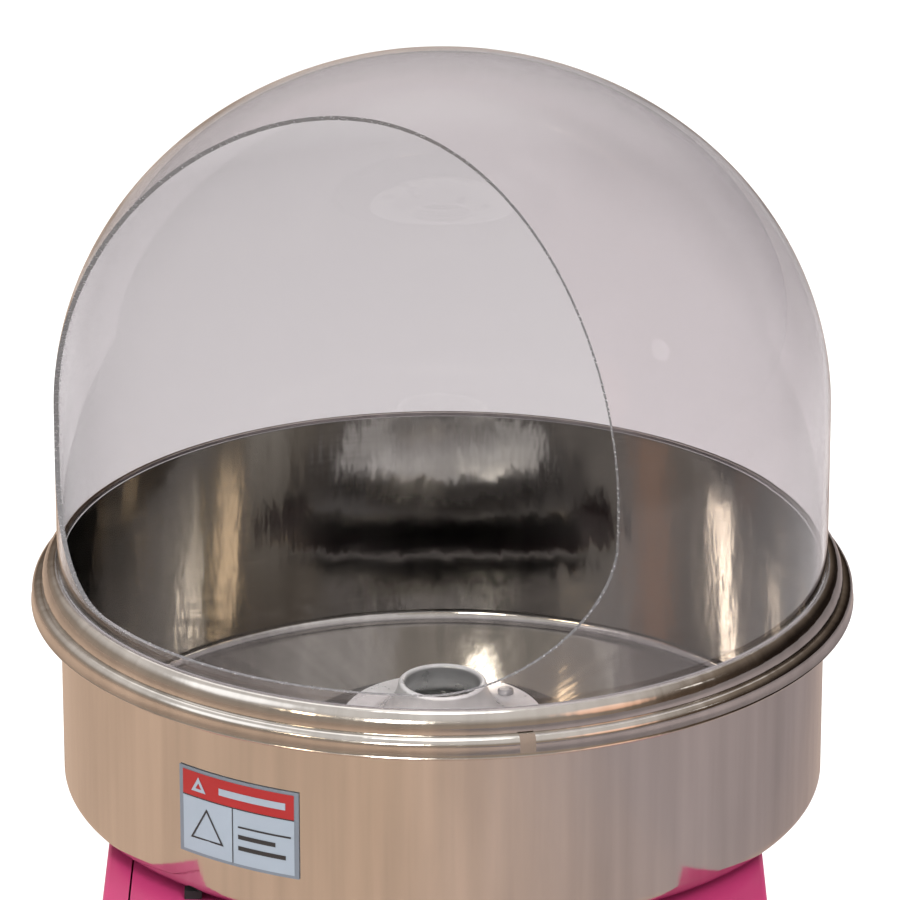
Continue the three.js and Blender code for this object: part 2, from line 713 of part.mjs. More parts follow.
function makeSwitches() {
  const names = ["motor", "heater"];
  SWITCH.xs.forEach((x, i) => {
    const halfW = SWITCH.width / 2;
    const halfH = SWITCH.height / 2;
    const face = PANEL_FACE - GAP;
    const flange = block([x - halfW, face - 2, CONTROL_Z - halfH], [x + halfW, face, CONTROL_Z + halfH]);
    const inner = [halfW - 1.5, halfH - 1.5];
    const body = block(
      [x - inner[0], face - 1, CONTROL_Z - inner[1]],
      [x + inner[0], face + 24, CONTROL_Z + inner[1]],
    );
    const well = block(
      [x - halfW + 3, face - 5, CONTROL_Z - halfH + 3],
      [x + halfW - 3, face + 9, CONTROL_Z + halfH - 3],
    );
    piece(`${names[i]}_switch_body`, cut(join(flange, body), well), BLACK);
    piece(`${names[i]}_rocker`, rockerShape(x, face), i === 0 ? BLACK : RED);
  });
}

// A shallow V-faced rocker, tipped to its off position about a pivot along X. Its section is
// drawn with x up the panel and y out of it.
function rockerShape(x, face) {
  const reach = SWITCH.height / 2 - 4.5;
  const width = SWITCH.width - 7;
  const profile = new THREE.Shape();
  profile.moveTo(-reach, 4.6);
  profile.lineTo(1 - reach, -1);
  profile.absarc(0, -1, 3.2, Math.PI, 2 * Math.PI, false);
  profile.lineTo(reach - 1, -1);
  profile.lineTo(reach, 4.6);
  profile.quadraticCurveTo(0, 1.2, -reach, 4.6);
  const up = new THREE.Vector3(0, 0, 1);
  const out = new THREE.Vector3(0, -1, 0);
  const across = new THREE.Vector3(1, 0, 0);
  const options = { depth: width, bevelEnabled: false, curveSegments: 8 };
  const geometry = new THREE.ExtrudeGeometry(profile, options)
    .translate(0, 0, -width / 2)
    .applyMatrix4(new THREE.Matrix4().makeBasis(up, out, across))
    .rotateX(radians(-ROCKER_TILT))
    .translate(x, face, CONTROL_Z);
  return solid(geometry);
}

function makeHeatControl() {
  const face = PANEL_FACE - GAP;
  const grooveCount = 12;
  const body = rodAlongY(KNOB.radius, face - KNOB.height, face, KNOB.x, CONTROL_Z, 36);
  const grooves = Array.from({ length: grooveCount }, (_, i) => {
    const [dx, dz] = aroundAxis(KNOB.radius + 0.6, (i / grooveCount) * 360);
    return rodAlongY(1.3, face - KNOB.height - 1, face - 3, KNOB.x + dx, CONTROL_Z + dz, 6);
  });
  const mark = block(
    [KNOB.x - 0.8, face - KNOB.height - 1, CONTROL_Z + 4],
    [KNOB.x + 0.8, face - KNOB.height + 1, CONTROL_Z + KNOB.radius + 1],
  );
  const bore = rodAlongY(3 + GAP, face - KNOB.height + 5, face + 1, KNOB.x, CONTROL_Z);
  piece("heat_knob", cut(body, ...grooves, mark, bore), BLACK);
  const spindle = rodAlongY(3, face - KNOB.height + 5 + GAP, FRONT + 12, KNOB.x, CONTROL_Z);
  const can = rodAlongY(12, FRONT + GAP, FRONT + 18, KNOB.x, CONTROL_Z);
  piece("heat_control", join(spindle, can), ZINC);
}

// ---------------------------------------------------------------- drawer

function makeDrawer() {
  const { width, depth, bottom, height, wall } = DRAWER;
  const mouth = FRONT + GAP;
  const half = width / 2;
  const box = cut(
    block([-half, mouth, bottom], [half, mouth + depth, bottom + height]),
    block(
      [wall - half, mouth + wall, bottom + wall],
      [half - wall, mouth + depth - wall, bottom + height + 1],
    ),
  );
  piece("drawer_box", box, STAINLESS);
  const frontHalf = DRAWER_FRONT.width / 2;
  const top = DRAWER_FRONT.bottom + DRAWER_FRONT.height;
  const outside = FRONT - GAP - DRAWER_FRONT.thickness;
  piece(
    "drawer_front",
    block([-frontHalf, outside, DRAWER_FRONT.bottom], [frontHalf, FRONT - GAP, top]),
    PINK,
  );
  makeDrawerHandle(outside - GAP);
  makeDrawerRunners(mouth);
}

// Each runner is an upright sheet with a ledge under the drawer's edge.
function makeDrawerRunners(mouth) {
  const outer = DRAWER.width / 2 + GAP;
  const [y0, y1] = [mouth + 5, mouth + DRAWER.depth - 5];
  const span = (side, a, b) => [side * a, side * b].sort((m, n) => m - n);
  for (const [place, side] of [["left", -1], ["right", 1]]) {
    const [u0, u1] = span(side, outer, outer + SHEET);
    const [l0, l1] = span(side, outer - 8, outer + SHEET);
    const upright = block([u0, y0, SHELL_BOTTOM], [u1, y1, DRAWER.bottom + 22]);
    const ledge = block([l0, y0, DRAWER.bottom - GAP - 3], [l1, y1, DRAWER.bottom - GAP]);
    piece(`drawer_runner_${place}`, join(upright, ledge), ZINC);
  }
}

// A bow handle: a bent bar with two feet.
function makeDrawerHandle(face) {
  const half = 46;
  const reach = 26;
  const bend = 12;
  const z = DRAWER_FRONT.bottom + DRAWER_FRONT.height / 2;
  const route = new THREE.CurvePath();
  const at = (x, y) => new THREE.Vector3(x, face - y, z);
  route.add(new THREE.LineCurve3(at(-half, 0), at(-half, reach - bend)));
  route.add(new THREE.QuadraticBezierCurve3(
    at(-half, reach - bend), at(-half, reach), at(bend - half, reach),
  ));
  route.add(new THREE.LineCurve3(at(bend - half, reach), at(half - bend, reach)));
  route.add(new THREE.QuadraticBezierCurve3(
    at(half - bend, reach), at(half, reach), at(half, reach - bend),
  ));
  route.add(new THREE.LineCurve3(at(half, reach - bend), at(half, 0)));
  const bar = new THREE.Shape();
  bar.absarc(0, 0, 5, 0, 2 * Math.PI, false);
  const options = { steps: 20, extrudePath: route, bevelEnabled: false, curveSegments: 5 };
  piece("drawer_handle", solid(new THREE.ExtrudeGeometry(bar, options)), STAINLESS);
}

// ---------------------------------------------------------------- electrical parts

function makeElectrics() {
  const wall = CABINET_HALF;
  const gland = cut(
    join(
      rodAlongY(GLAND.radius, wall + GAP, wall + 8, GLAND.x, GLAND.z),
      rodAlongY(GLAND.bore - GAP, wall - 12, wall + 1, GLAND.x, GLAND.z),
    ),
    rodAlongY(4, wall - 20, wall + 20, GLAND.x, GLAND.z, 16),
  );
  piece("cord_gland", gland, BLACK);
  const holder = join(
    rodAlongY(FUSE.radius, wall + GAP, wall + 6, FUSE.x, GLAND.z),
    rodAlongY(FUSE.bore - GAP, wall - 30, wall + 1, FUSE.x, GLAND.z),
  );
  piece("fuse_holder", holder, BLACK);
  const cap = rodAlongY(FUSE.radius - 2, wall + 6 + GAP, wall + 13, FUSE.x, GLAND.z, 16);
  piece("fuse_cap", cap, BLACK);
  makeTerminalBlock();
  const board = block([-170, -30, 200], [-168, 60, 290]);
  const sink = block([-169, -10, 215], [-150, 40, 275]);
  const fins = [0, 1, 2, 3].map((i) =>
    block([-164, -6 + i * 12, 210], [-149, 1 + i * 12, 280]),
  );
  piece("heat_regulator", cut(join(board, sink), ...fins), BOARD_GREEN);
}

function makeTerminalBlock() {
  const low = [95, 110, BASE_TOP + GAP];
  const wayCount = 4;
  const pitch = 12;
  const body = block(low, [low[0] + wayCount * pitch, low[1] + 20, low[2] + 16]);
  const wells = Array.from({ length: wayCount }, (_, i) =>
    rod(3.5, low[2] + 8, low[2] + 20, low[0] + (i + 0.5) * pitch, low[1] + 10, 12),
  );
  piece("terminal_block", cut(body, ...wells), WHITE);
}

// ---------------------------------------------------------------- assembly

makeDeckAndSide();
makeSideCover();
makeFrontPanel();
makeBackPanel();
makeBasePlate();
makeFeet();
makeBowlPads();
makeBowlAndDome();
makeLabels();
makeHead();
makeMotor();
makeSlipRings();
makePanelPlate();
makeVoltmeter();
makeSwitches();
makeHeatControl();
makeDrawer();
makeElectrics();

export default machine;
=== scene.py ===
"""Cotton candy machine: looks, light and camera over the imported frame.

Metres, +Z up. -Y is the operator's side.
"""

import math

import bmesh
import bpy
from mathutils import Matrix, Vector


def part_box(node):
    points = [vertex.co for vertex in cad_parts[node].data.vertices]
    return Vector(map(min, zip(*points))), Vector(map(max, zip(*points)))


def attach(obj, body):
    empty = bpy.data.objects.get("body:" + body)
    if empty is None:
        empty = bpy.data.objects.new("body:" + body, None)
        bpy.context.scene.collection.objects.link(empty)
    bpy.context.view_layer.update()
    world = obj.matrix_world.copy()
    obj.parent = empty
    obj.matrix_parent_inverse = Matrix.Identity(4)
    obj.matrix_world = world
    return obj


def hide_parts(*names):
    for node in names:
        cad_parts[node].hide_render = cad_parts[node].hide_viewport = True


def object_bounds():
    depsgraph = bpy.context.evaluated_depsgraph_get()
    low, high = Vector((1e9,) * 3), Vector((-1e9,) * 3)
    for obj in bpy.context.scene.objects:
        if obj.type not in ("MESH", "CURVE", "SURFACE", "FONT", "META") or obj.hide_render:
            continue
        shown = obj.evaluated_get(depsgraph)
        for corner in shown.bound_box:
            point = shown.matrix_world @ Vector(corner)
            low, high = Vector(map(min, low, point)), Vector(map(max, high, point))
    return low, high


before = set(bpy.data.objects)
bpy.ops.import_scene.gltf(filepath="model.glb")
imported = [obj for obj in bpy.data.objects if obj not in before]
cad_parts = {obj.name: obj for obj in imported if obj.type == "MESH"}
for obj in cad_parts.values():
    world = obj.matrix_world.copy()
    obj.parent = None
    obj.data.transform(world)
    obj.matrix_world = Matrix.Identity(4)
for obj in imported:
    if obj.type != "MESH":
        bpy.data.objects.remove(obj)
CAD_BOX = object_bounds()

# ---------------------------------------------------------------- sizes, from the frame

BOWL_LOW, BOWL_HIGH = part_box("bowl")
DOME_LOW, DOME_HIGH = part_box("dome")
CAP_LOW, CAP_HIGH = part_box("head_cap")
DISC_LOW, DISC_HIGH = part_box("head_disc")
FLOOR_Z = CAD_BOX[0][2]

SEGMENTS = 192  # round the big turned pieces
SEGMENTS_SMALL = 64

LIP = BOWL_LOW.z + 0.123  # foot of the rim's outer band
LIP_RADIUS = BOWL_HIGH.x
WALL_RADIUS = 0.2415
SHEET = 0.0016
BOWL_HOLE = 0.110
DECK_SHADE_EDGE = BOWL_HOLE + 0.02  # where the painted shade on the deck round the head ends
SEAT = LIP + 0.0252
CREST = BOWL_HIGH.z
CREASE = LIP + 0.0132
CREASE_RADIUS = 0.2532
CREST_RADIUS = 0.245
HEM = 0.0012
CRATER_RADIUS = 0.026
# the width over which the painted shade in the crater fades out
CRATER_FADE = 0.004

DOME_RADIUS = DOME_HIGH.x
BACK_SHADE_FROM, BACK_SHADE_FULL = -0.12, 0.08  # depths between which the painted shade on the dome's back sets in
CROWN_SHADE_FADE = (0.1, 0.2)  # heights over the shoulder between which it fades again
DOME_WALL = 0.003
DOME_SHOULDER = DOME_LOW.z + 0.1024
OPENING_AZIMUTH = math.radians(31)
CUT_REACH = 0.02  # how far the cutter stands off the wall on either side
CUT_FAR = 2.0  # distance of the point that closes the cutter outside
OPENING_HALF = 0.203
OPENING_CORNER = 0.089
OPENING_SILL = DOME_LOW.z + 0.0088
OPENING_CENTRE = DOME_LOW.z + 0.1085

AIM = Vector((0.0048, 0, LIP + 0.0962))
CAMERA_DISTANCE = 4.0
CAMERA_ELEVATION = math.radians(21.65)
CAMERA_LENS = 254.9

# ---------------------------------------------------------------- material helpers


class Shader:
    """A material with one Principled node and short ways to add nodes before it."""

    def __init__(self, name, color, roughness, metallic=0.0):
        self.material = bpy.data.materials.new(name)
        self.material.use_nodes = True
        self.tree = self.material.node_tree
        self.bsdf = self.tree.nodes["Principled BSDF"]
        self.color = (*color, 1)
        self.bsdf.inputs["Base Color"].default_value = self.color
        self.bsdf.inputs["Roughness"].default_value = roughness
        self.bsdf.inputs["Metallic"].default_value = metallic
        self.normal = None

    def node(self, kind, **settings):
        made = self.tree.nodes.new(kind)
        for key, value in settings.items():
            setattr(made, key, value)
        return made

    def link(self, source, target):
        self.tree.links.new(source, target)

    def math(self, operation, first, second=None):
        made = self.node("ShaderNodeMath", operation=operation)
        for i, value in enumerate((first, second)):
            if value is None:
                continue
            if isinstance(value, (int, float)):
                made.inputs[i].default_value = value
            else:
                self.link(value, made.inputs[i])
        return made.outputs[0]

    def position(self):
        return self.node("ShaderNodeNewGeometry").outputs["Position"]

    def object_space(self, scale=(1, 1, 1)):
        mapping = self.node("ShaderNodeMapping")
        mapping.inputs["Scale"].default_value = scale
        coordinates = self.node("ShaderNodeTexCoord")
        self.link(coordinates.outputs["Object"], mapping.inputs["Vector"])
        return mapping.outputs[0]

    def around_axis(self, radial, angular, vertical):
        """(radius, angle, height) times three scales, for marks that run round a turned piece."""
        split = self.node("ShaderNodeSeparateXYZ")
        coordinates = self.node("ShaderNodeTexCoord")
        self.link(coordinates.outputs["Object"], split.inputs[0])
        x, y, z = split.outputs
        squares = self.math("ADD", self.math("MULTIPLY", x, x), self.math("MULTIPLY", y, y))
        radius = self.math("SQRT", squares)
        angle = self.math("ARCTAN2", y, x)
        joined = self.node("ShaderNodeCombineXYZ")
        self.link(self.math("MULTIPLY", radius, radial), joined.inputs[0])
        self.link(self.math("MULTIPLY", angle, angular), joined.inputs[1])
        self.link(self.math("MULTIPLY", z, vertical), joined.inputs[2])
        return joined.outputs[0]

    def noise(self, vector, scale=1.0, detail=4.0):
        made = self.node("ShaderNodeTexNoise")
        made.inputs["Scale"].default_value = scale
        made.inputs["Detail"].default_value = detail
        self.link(vector, made.inputs["Vector"])
        return made.outputs["Fac"]

    def between(self, factor, low, high, start=0.3, end=0.7):
        """A value that goes from low to high as factor goes from start to end."""
        made = self.node("ShaderNodeMapRange")
        for i, value in enumerate((start, end, low, high), start=1):
            made.inputs[i].default_value = value
        self.link(factor, made.inputs[0])
        return made.outputs[0]

    def blend_color(self, factor, first, second):
        made = self.node("ShaderNodeMix", data_type="RGBA")
        self.link(factor, made.inputs["Factor"])
        made.inputs[6].default_value = (*first, 1)
        made.inputs[7].default_value = (*second, 1)
        self.link(made.outputs[2], self.bsdf.inputs["Base Color"])

    def darken(self, factor, share):
        """Multiplies the base colour by share where factor is 1."""
        made = self.node("ShaderNodeMix", data_type="RGBA", blend_type="MULTIPLY")
        self.link(factor, made.inputs["Factor"])
        self.link(self.bsdf.inputs["Base Color"].links[0].from_socket, made.inputs[6])
        made.inputs[7].default_value = (share, share, share, 1)
        self.link(made.outputs[2], self.bsdf.inputs["Base Color"])

    def from_axis(self):
        """The distance from the piece's own Z axis."""
        split = self.node("ShaderNodeSeparateXYZ")
        self.link(self.around_axis(1, 0, 0), split.inputs[0])
        return split.outputs[0]

    def bump(self, height, strength, distance):
        made = self.node("ShaderNodeBump")
        made.inputs["Strength"].default_value = strength
        made.inputs["Distance"].default_value = distance
        self.link(height, made.inputs["Height"])
        if self.normal is not None:
            self.link(self.normal, made.inputs["Normal"])
        self.normal = made.outputs[0]
        self.link(self.normal, self.bsdf.inputs["Normal"])

    def set(self, socket, value):
        self.bsdf.inputs[socket].default_value = value

    def roughness(self, value):
        self.link(value, self.bsdf.inputs["Roughness"])


def scaled(color, factor):
    return tuple(min(channel * factor, 1) for channel in color)


def plain_finish(name, color, roughness, metallic=0.0, grain=900, bump=0.15, vary=0.12):
    """Moulded or painted stuff: fine grain in the bump, soft blotches in colour and roughness."""
    shader = Shader(name, color, roughness, metallic)
    blotches = shader.noise(shader.object_space(), 14, 3)
    shader.blend_color(
        shader.between(blotches, 0, 1), scaled(color, 1 - vary), scaled(color, 1 + vary)
    )
    shader.roughness(shader.between(blotches, roughness * 0.85, roughness * 1.2))
    shader.bump(shader.noise(shader.object_space(), grain, 2), bump, 0.0002)
    return shader.material


def spun_steel(name, color, roughness, anisotropy=0.65):
    """Sheet spun on a lathe: fine rings, smears, drips, and painted shade darkening the inside of the bowl.
    """
    shader = Shader(name, color, roughness, 1.0)
    rings = shader.noise(shader.around_axis(800, 0.8, 800), 1, 2)
    smears = shader.noise(shader.around_axis(6, 1.5, 3), 1, 5)
    drips = shader.noise(shader.around_axis(0, 16, 3), 1, 4)
    wear = shader.math("ADD", shader.math("MULTIPLY", smears, 0.55), shader.math("MULTIPLY", drips, 0.45))
    shader.blend_color(shader.between(wear, 0, 1, 0.36, 0.62), scaled(color, 0.8), scaled(color, 1.06))
    streaks = shader.math("ADD", shader.math("MULTIPLY", rings, 0.35), shader.math("MULTIPLY", wear, 0.65))
    shader.roughness(shader.between(streaks, roughness * 0.65, roughness * 1.5))
    shader.bump(rings, 0.03, 0.0001)
    shader.bump(shader.noise(shader.around_axis(12, 9, 14), 1, 3), 0.3, 0.002)
    # painted shade: inside the wall the base colour is darkened to 0.74, standing in for the shade in the
    # bowl
    inside = shader.between(shader.from_axis(), 1, 0, WALL_RADIUS - SHEET, WALL_RADIUS - SHEET / 2)
    shader.darken(inside, 0.74)
    shader.set("Anisotropic", anisotropy)
    tangent = shader.node("ShaderNodeTangent", direction_type="RADIAL", axis="Z")
    shader.link(tangent.outputs[0], shader.bsdf.inputs["Tangent"])
    return shader.material


def brushed_sheet(name, color, roughness):
    """Flat sheet brushed along X."""
    shader = Shader(name, color, roughness, 1.0)
    lines = shader.noise(shader.object_space((30, 2500, 2500)), 1, 2)
    shader.blend_color(shader.between(lines, 0, 1), scaled(color, 0.94), scaled(color, 1.04))
    shader.roughness(shader.between(lines, roughness * 0.75, roughness * 1.3))
    shader.bump(lines, 0.05, 0.0001)
    return shader.material


def powder_coat(name, color):
    """Satin powder coat: orange peel, faint dust, and painted shade on the deck round the head."""
    shader = Shader(name, color, 0.36)
    dust = shader.noise(shader.object_space(), 22, 5)
    shader.blend_color(shader.between(dust, 0, 1), scaled(color, 0.96), scaled(color, 1.04))
    shader.roughness(shader.between(dust, 0.3, 0.44))
    # painted shade: the deck seen through the bowl's hole is darkened almost to black, as if little light
    # reached it
    shader.darken(shader.between(shader.from_axis(), 1, 0, BOWL_HOLE, DECK_SHADE_EDGE), 0.04)
    shader.bump(shader.noise(shader.object_space(), 650, 1), 0.12, 0.0003)
    shader.set("Coat Weight", 0.3)
    shader.set("Coat Roughness", 0.25)
    return shader.material


def turned_aluminium(name):
    """Cast aluminium faced on a lathe: rings, small pits, dull patches, and painted shade in the crater."""
    color = (0.86, 0.85, 0.84)
    shader = Shader(name, color, 0.3, 0.6)
    rings = shader.noise(shader.around_axis(2600, 0.6, 900), 1, 2)
    dull = shader.noise(shader.object_space(), 60, 5)
    shader.blend_color(shader.between(dull, 0, 1), scaled(color, 0.8), scaled(color, 1.05))
    shader.roughness(shader.between(dull, 0.22, 0.45))
    # painted shade: the hollow of the crater is darkened to a tenth, as the shade inside it
    crater = shader.between(shader.from_axis(), 1, 0, CRATER_RADIUS - CRATER_FADE, CRATER_RADIUS)
    shader.darken(crater, 0.1)
    shader.bump(rings, 0.15, 0.0001)
    shader.bump(shader.noise(shader.object_space(), 240, 3), 0.1, 0.0003)
    return shader.material


def let_lamps_through(shader, tint):
    """Adds a clear shader for shadow rays, so that lamps reach what stands behind."""
    output = shader.tree.nodes["Material Output"]
    clear = shader.node("ShaderNodeBsdfTransparent")
    clear.inputs["Color"].default_value = (*tint, 1)
    path = shader.node("ShaderNodeLightPath")
    mix = shader.node("ShaderNodeMixShader")
    shader.link(path.outputs["Is Shadow Ray"], mix.inputs[0])
    shader.link(shader.bsdf.outputs[0], mix.inputs[1])
    shader.link(clear.outputs[0], mix.inputs[2])
    shader.link(mix.outputs[0], output.inputs["Surface"])


def clear_acrylic(name):
    """Blown acrylic with wiping marks; painted shade greys it towards the back, less so under the crown."""
    # the front colour is the clear sheet; the back colour is painted shade, standing in for the darker room
    # seen through the dome
    front, back = (0.97, 0.935, 0.945), (0.46, 0.43, 0.44)
    shader = Shader(name, front, 0.02)
    split = shader.node("ShaderNodeSeparateXYZ")
    shader.link(shader.object_space(), split.inputs[0])
    back_shade = shader.between(split.outputs[1], 0, 1, BACK_SHADE_FROM, BACK_SHADE_FULL)
    low, high = (DOME_SHOULDER + rise for rise in CROWN_SHADE_FADE)
    crown = shader.between(split.outputs[2], 1, 0.45, low, high)
    shader.blend_color(shader.math("MULTIPLY", back_shade, crown), front, back)
    shader.set("Transmission Weight", 1.0)
    shader.set("IOR", 1.35)
    wiping = shader.noise(shader.around_axis(20, 3, 40), 1, 6)
    shader.roughness(shader.between(wiping, 0.0, 0.008, 0.45, 0.8))
    shader.bump(shader.noise(shader.object_space((3, 3, 5)), 2, 1), 0.05, 0.01)
    let_lamps_through(shader, (0.9, 0.88, 0.89))
    return shader.material


def cut_acrylic(name):
    """The sawn and polished edge: cloudier than the sheet, with fine saw lines."""
    color = (0.52, 0.5, 0.51)
    shader = Shader(name, color, 0.2)
    lines = shader.noise(shader.object_space((300, 300, 900)), 1, 2)
    shader.blend_color(shader.between(lines, 0, 1), scaled(color, 0.85), scaled(color, 1.15))
    shader.roughness(shader.between(lines, 0.12, 0.3))
    shader.bump(lines, 0.1, 0.0002)
    shader.set("Transmission Weight", 0.75)
    shader.set("IOR", 1.4)
    return shader.material


def clear_window(name):
    shader = Shader(name, (0.97, 0.98, 0.98), 0.02)
    shader.set("Transmission Weight", 1.0)
    shader.set("IOR", 1.45)
    shader.roughness(shader.between(shader.noise(shader.object_space(), 60, 4), 0.0, 0.08))
    let_lamps_through(shader, (0.95, 0.96, 0.96))
    return shader.material


PINK_COLOR = (0.5, 0.045, 0.16)
STEEL_COLOR = (0.68, 0.655, 0.625)

M = {
    "bowl_steel": spun_steel("bowl_steel", STEEL_COLOR, 0.105, 0.5),
    "pink": powder_coat("pink_powder_coat", PINK_COLOR),
    "acrylic": clear_acrylic("clear_acrylic"),
    "acrylic_edge": cut_acrylic("sawn_acrylic_edge"),
    "aluminium": turned_aluminium("turned_aluminium"),
    "sheet": brushed_sheet("brushed_sheet", (0.66, 0.66, 0.66), 0.36),
    "zinc": plain_finish("zinc_plate", (0.5, 0.5, 0.51), 0.4, 1.0, 500, 0.15, 0.16),
    "steel": plain_finish("ground_steel", (0.42, 0.42, 0.43), 0.32, 1.0, 800, 0.15, 0.18),
    "brass": plain_finish("turned_brass", (0.6, 0.42, 0.16), 0.28, 1.0, 900, 0.1, 0.15),
    "rubber": plain_finish("rubber", (0.018, 0.018, 0.02), 0.75, 0, 700, 0.3, 0.3),
    "black": plain_finish("black_moulding", (0.016, 0.016, 0.017), 0.42, 0, 1100, 0.25, 0.2),
    "enamel": plain_finish("black_enamel", (0.03, 0.026, 0.024), 0.11, 0, 300, 0.08, 0.3),
    "carbon": plain_finish("carbon", (0.03, 0.03, 0.032), 0.6, 0, 900, 0.3, 0.25),
    "white": plain_finish("white_moulding", (0.78, 0.77, 0.73), 0.5, 0, 900, 0.1, 0.05),
    "red": plain_finish("red_moulding", (0.5, 0.02, 0.02), 0.25, 0, 900, 0.08, 0.1),
    "board": plain_finish("solder_mask", (0.03, 0.14, 0.05), 0.4, 0, 400, 0.3, 0.25),
    "window": clear_window("meter_window"),
    "film_grey": plain_finish("label_film_grey", (0.14, 0.16, 0.19), 0.35, 0, 500, 0.05, 0.06),
    "film_light": plain_finish("label_film_light", (0.27, 0.31, 0.36), 0.35, 0, 500, 0.05, 0.05),
    "film_red": plain_finish("label_film_red", (0.3, 0.008, 0.01), 0.32, 0, 500, 0.05, 0.08),
    "sticker": plain_finish("sticker_film", (0.15, 0.11, 0.085), 0.35, 0, 300, 0.1, 0.2),
    "ink": plain_finish("black_ink", (0.02, 0.02, 0.022), 0.4, 0, 500, 0.05, 0.2),
}

# ---------------------------------------------------------------- mesh helpers


def add_object(name, mesh, material, body):
    obj = bpy.data.objects.new(name, mesh)
    bpy.context.scene.collection.objects.link(obj)
    if material is not None:
        mesh.materials.append(M[material])
    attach(obj, body)
    return obj


def smooth(mesh, degrees=35):
    mesh.shade_smooth()
    mesh.set_sharp_from_angle(angle=math.radians(degrees))


def arc(cx, cz, rx, rz, start, end, count=10):
    """Points of an elliptical arc in (radius, height), angles in degrees."""
    angles = [math.radians(start + (end - start) * i / count) for i in range(count + 1)]
    return [(cx + rx * math.cos(a), cz + rz * math.sin(a)) for a in angles]


def lathe_mesh(name, profile, segments):
    """A closed profile in (radius, height) turned round Z."""
    points = [p for i, p in enumerate(profile) if math.dist(p, profile[i - 1]) > 1e-6]
    bm = bmesh.new()
    rows = []
    for i in range(segments):
        a = 2 * math.pi * i / segments
        rows.append([bm.verts.new((r * math.cos(a), r * math.sin(a), z)) for r, z in points])
    for i, row in enumerate(rows):
        following = rows[(i + 1) % segments]
        for j in range(len(points)):
            k = (j + 1) % len(points)
            bm.faces.new((row[j], following[j], following[k], row[k]))
    bmesh.ops.remove_doubles(bm, verts=bm.verts, dist=1e-7)
    bmesh.ops.recalc_face_normals(bm, faces=bm.faces)
    mesh = bpy.data.meshes.new(name)
    bm.to_mesh(mesh)
    bm.free()
    return mesh


def lathe(name, profile, material, body, segments=SEGMENTS):
    mesh = lathe_mesh(name, profile, segments)
    smooth(mesh)
    return add_object(name, mesh, material, body)


def tube(name, points, radius, material, body, cyclic=False):
    curve = bpy.data.curves.new(name, "CURVE")
    curve.dimensions = "3D"
    curve.bevel_depth = radius
    curve.bevel_resolution = 6
    curve.use_fill_caps = not cyclic
    spline = curve.splines.new("POLY")
    spline.points.add(len(points) - 1)
    for target, point in zip(spline.points, points):
        target.co = (*point, 1)
    spline.use_cyclic_u = cyclic
    return add_object(name, curve, material, body)


# ---------------------------------------------------------------- bowl


def bowl_profile():
    """Floor, wall, dome ledge, rolled bead, shoulder, band and hem, down the outside and back up inside."""
    outer, inner, corner = WALL_RADIUS, WALL_RADIUS - SHEET, 0.009
    bottom = BOWL_LOW.z
    bead = (CREASE_RADIUS - CREST_RADIUS, CREST - CREASE)
    band = LIP_RADIUS - HEM / 2
    shoulder = 0.0055
    centre = (band - shoulder, CREASE - shoulder)
    return [
        (BOWL_HOLE, bottom),
        *arc(outer - corner, bottom + corner, corner, corner, -90, 0),
        (outer, SEAT - SHEET),
        (CREST_RADIUS - 0.0004, SEAT - SHEET),
        (CREST_RADIUS, CREST - SHEET),
        *arc(CREST_RADIUS, CREASE, bead[0] - SHEET, bead[1] - SHEET, 90, 0),
        (centre[0], CREASE - SHEET),
        *arc(*centre, shoulder - SHEET, shoulder - SHEET, 90, 0, 6),
        (band - SHEET, LIP + HEM),
        *arc(band - HEM / 2, LIP + HEM, HEM, HEM, 180, 360, 10),
        (band, LIP + 2 * HEM),
        *arc(*centre, shoulder, shoulder, 0, 90, 8),
        (CREASE_RADIUS + 0.0006, CREASE),
        *arc(CREST_RADIUS, CREASE, *bead, 0, 90, 14),
        (0.2440, CREST - 0.0003),
        (0.2435, SEAT),
        (inner, SEAT),
        *arc(outer - corner, bottom + corner, corner - SHEET, corner - SHEET, 0, -90),
        (BOWL_HOLE + 0.002, bottom + SHEET),
        (BOWL_HOLE + 0.0005, bottom + SHEET + 0.0015),
        (BOWL_HOLE, bottom + SHEET + 0.0012),
    ]


def make_bowl():
    bowl = lathe("spun_bowl", bowl_profile(), "bowl_steel", "bowl")
    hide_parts("bowl")


# ---------------------------------------------------------------- dome


def dome_profile():
    inner = DOME_RADIUS - DOME_WALL
    height = DOME_HIGH.z - DOME_SHOULDER
    outside = arc(0, DOME_SHOULDER, DOME_RADIUS, height, 0, 90, 48)
    inside = arc(0, DOME_SHOULDER, inner, height - DOME_WALL, 90, 0, 48)
    uprights = [DOME_LOW.z + (DOME_SHOULDER - DOME_LOW.z) * i / 8 for i in range(8)]
    return (
        [(DOME_RADIUS, z) for z in uprights]
        + [(max(r, 0), z) for r, z in outside]
        + [(max(r, 0), z) for r, z in inside]
        + [(inner, z) for z in reversed(uprights)]
    )


def opening_outline():
    """The arch in (across, height), from the right lower corner round the top to the left."""
    half, corner, low = OPENING_HALF, OPENING_CORNER, OPENING_SILL
    return [
        *arc(half - corner, low + corner, corner, corner, -90, 0, 24),
        *arc(0, OPENING_CENTRE, half, half, 0, 180, 72),
        *arc(corner - half, low + corner, corner, corner, 180, 270, 24),
        *[((half - corner) * (i / 16 - 1), low) for i in range(1, 32)],
    ]


def on_dome(across, height):
    """The point and outward normal of the dome's outer surface where the opening's outline meets it."""
    side = Vector((math.cos(OPENING_AZIMUTH), -math.sin(OPENING_AZIMUTH), 0))
    out = Vector((-math.sin(OPENING_AZIMUTH), -math.cos(OPENING_AZIMUTH), 0))
    cap = DOME_HIGH.z - DOME_SHOULDER
    rise = max(height - DOME_SHOULDER, 0)
    radius = DOME_RADIUS * math.sqrt(1 - (rise / cap) ** 2)
    forward = math.sqrt(max(radius * radius - across * across, 0))
    flat = side * across + out * forward
    normal = flat / DOME_RADIUS**2 + Vector((0, 0, rise / cap**2))
    return flat + Vector((0, 0, height)), normal.normalized()


